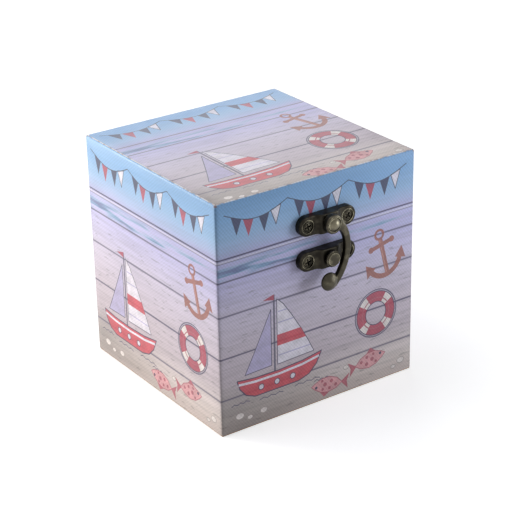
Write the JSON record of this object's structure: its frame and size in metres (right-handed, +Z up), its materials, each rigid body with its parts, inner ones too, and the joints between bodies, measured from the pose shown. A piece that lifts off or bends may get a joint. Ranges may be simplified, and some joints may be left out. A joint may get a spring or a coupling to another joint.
{
  "type": "jack in the box",
  "caption": "Paper-covered cube box with a hinged lid and swing-hook latch; inside, a clown on a spring in a cloth sleeve rises as the lid opens.",
  "frame": {"origin": "middle of the base, on the surface that the box stands on", "axes": "+Z up, the latch faces -Y, the hinges are on the +Y side, +X is to the right of someone facing the latch"},
  "size_m": [0.1, 0.1133, 0.103],
  "materials": {
    "fibreboard": "bare sawn medium-density fibreboard",
    "printed_paper": "matt printed paper with a linen emboss",
    "antique_bronze": "dark antique bronze, rubbed bright on edges",
    "birch_wood": "bare sanded wood",
    "spring_steel": "drawn wire",
    "sleeve_cotton": "cotton in red and cream stripes",
    "ruff_cotton": "starched cotton",
    "painted_wood": "satin painted wood",
    "nose_lacquer": "gloss lacquered wood",
    "hair_wool": "wool yarn",
    "hat_felt": "pressed wool felt",
    "pompom_wool": "cut wool yarn"
  },
  "bodies": {
    "box": {"base_board": "fibreboard", "box_wall_front": "fibreboard", "box_wall_back": "fibreboard", "box_wall_left": "fibreboard", "box_wall_right": "fibreboard", "box_paper": "printed_paper", "catch_plate": "antique_bronze", "catch_stud": "antique_bronze", "catch_screws": "antique_bronze", "hinge_left_box_leaf": "antique_bronze", "hinge_right_box_leaf": "antique_bronze", "hinge_left_pin": "antique_bronze", "hinge_right_pin": "antique_bronze", "box_hinge_screws": "antique_bronze", "spring_seat": "birch_wood", "jack_spring": "spring_steel", "jack_sleeve": "sleeve_cotton"},
    "lid": {"lid_top_board": "fibreboard", "lid_rail_front": "fibreboard", "lid_rail_back": "fibreboard", "lid_rail_left": "fibreboard", "lid_rail_right": "fibreboard", "lid_paper": "printed_paper", "hook_plate": "antique_bronze", "hook_rivet": "antique_bronze", "hook_plate_screws": "antique_bronze", "hinge_left_lid_leaf": "antique_bronze", "hinge_right_lid_leaf": "antique_bronze", "lid_hinge_screws": "antique_bronze"},
    "hook": {"latch_hook": "antique_bronze"},
    "jack": {"jack_disc": "birch_wood", "jack_neck": "birch_wood", "jack_ruff": "ruff_cotton", "jack_head": "painted_wood", "jack_nose": "nose_lacquer", "jack_hair": "hair_wool", "jack_hat": "hat_felt", "hat_pompom": "pompom_wool"}
  },
  "joints": [
    {"name": "lid_hinge", "type": "hinge", "parent": "box", "child": "lid", "pos_m": [0, 0.05205, 0.0793], "axis": [-1, 0, 0], "range_deg": [0, 115]},
    {"name": "hook_swing", "type": "hinge", "parent": "lid", "child": "hook", "pos_m": [0.0024, -0.0563, 0.0839], "axis": [0, -1, 0], "range_deg": [-4.5, 150]},
    {"name": "jack_rise", "type": "slide", "parent": "box", "child": "jack", "axis": [0, 0, 1], "range_m": [0, 0.0935], "deforming": ["jack_spring", "jack_sleeve"]}
  ],
  "couplings": [
    {"joint": "jack_rise", "follows": "lid_hinge", "m_per_rad": 0.0465}
  ]
}
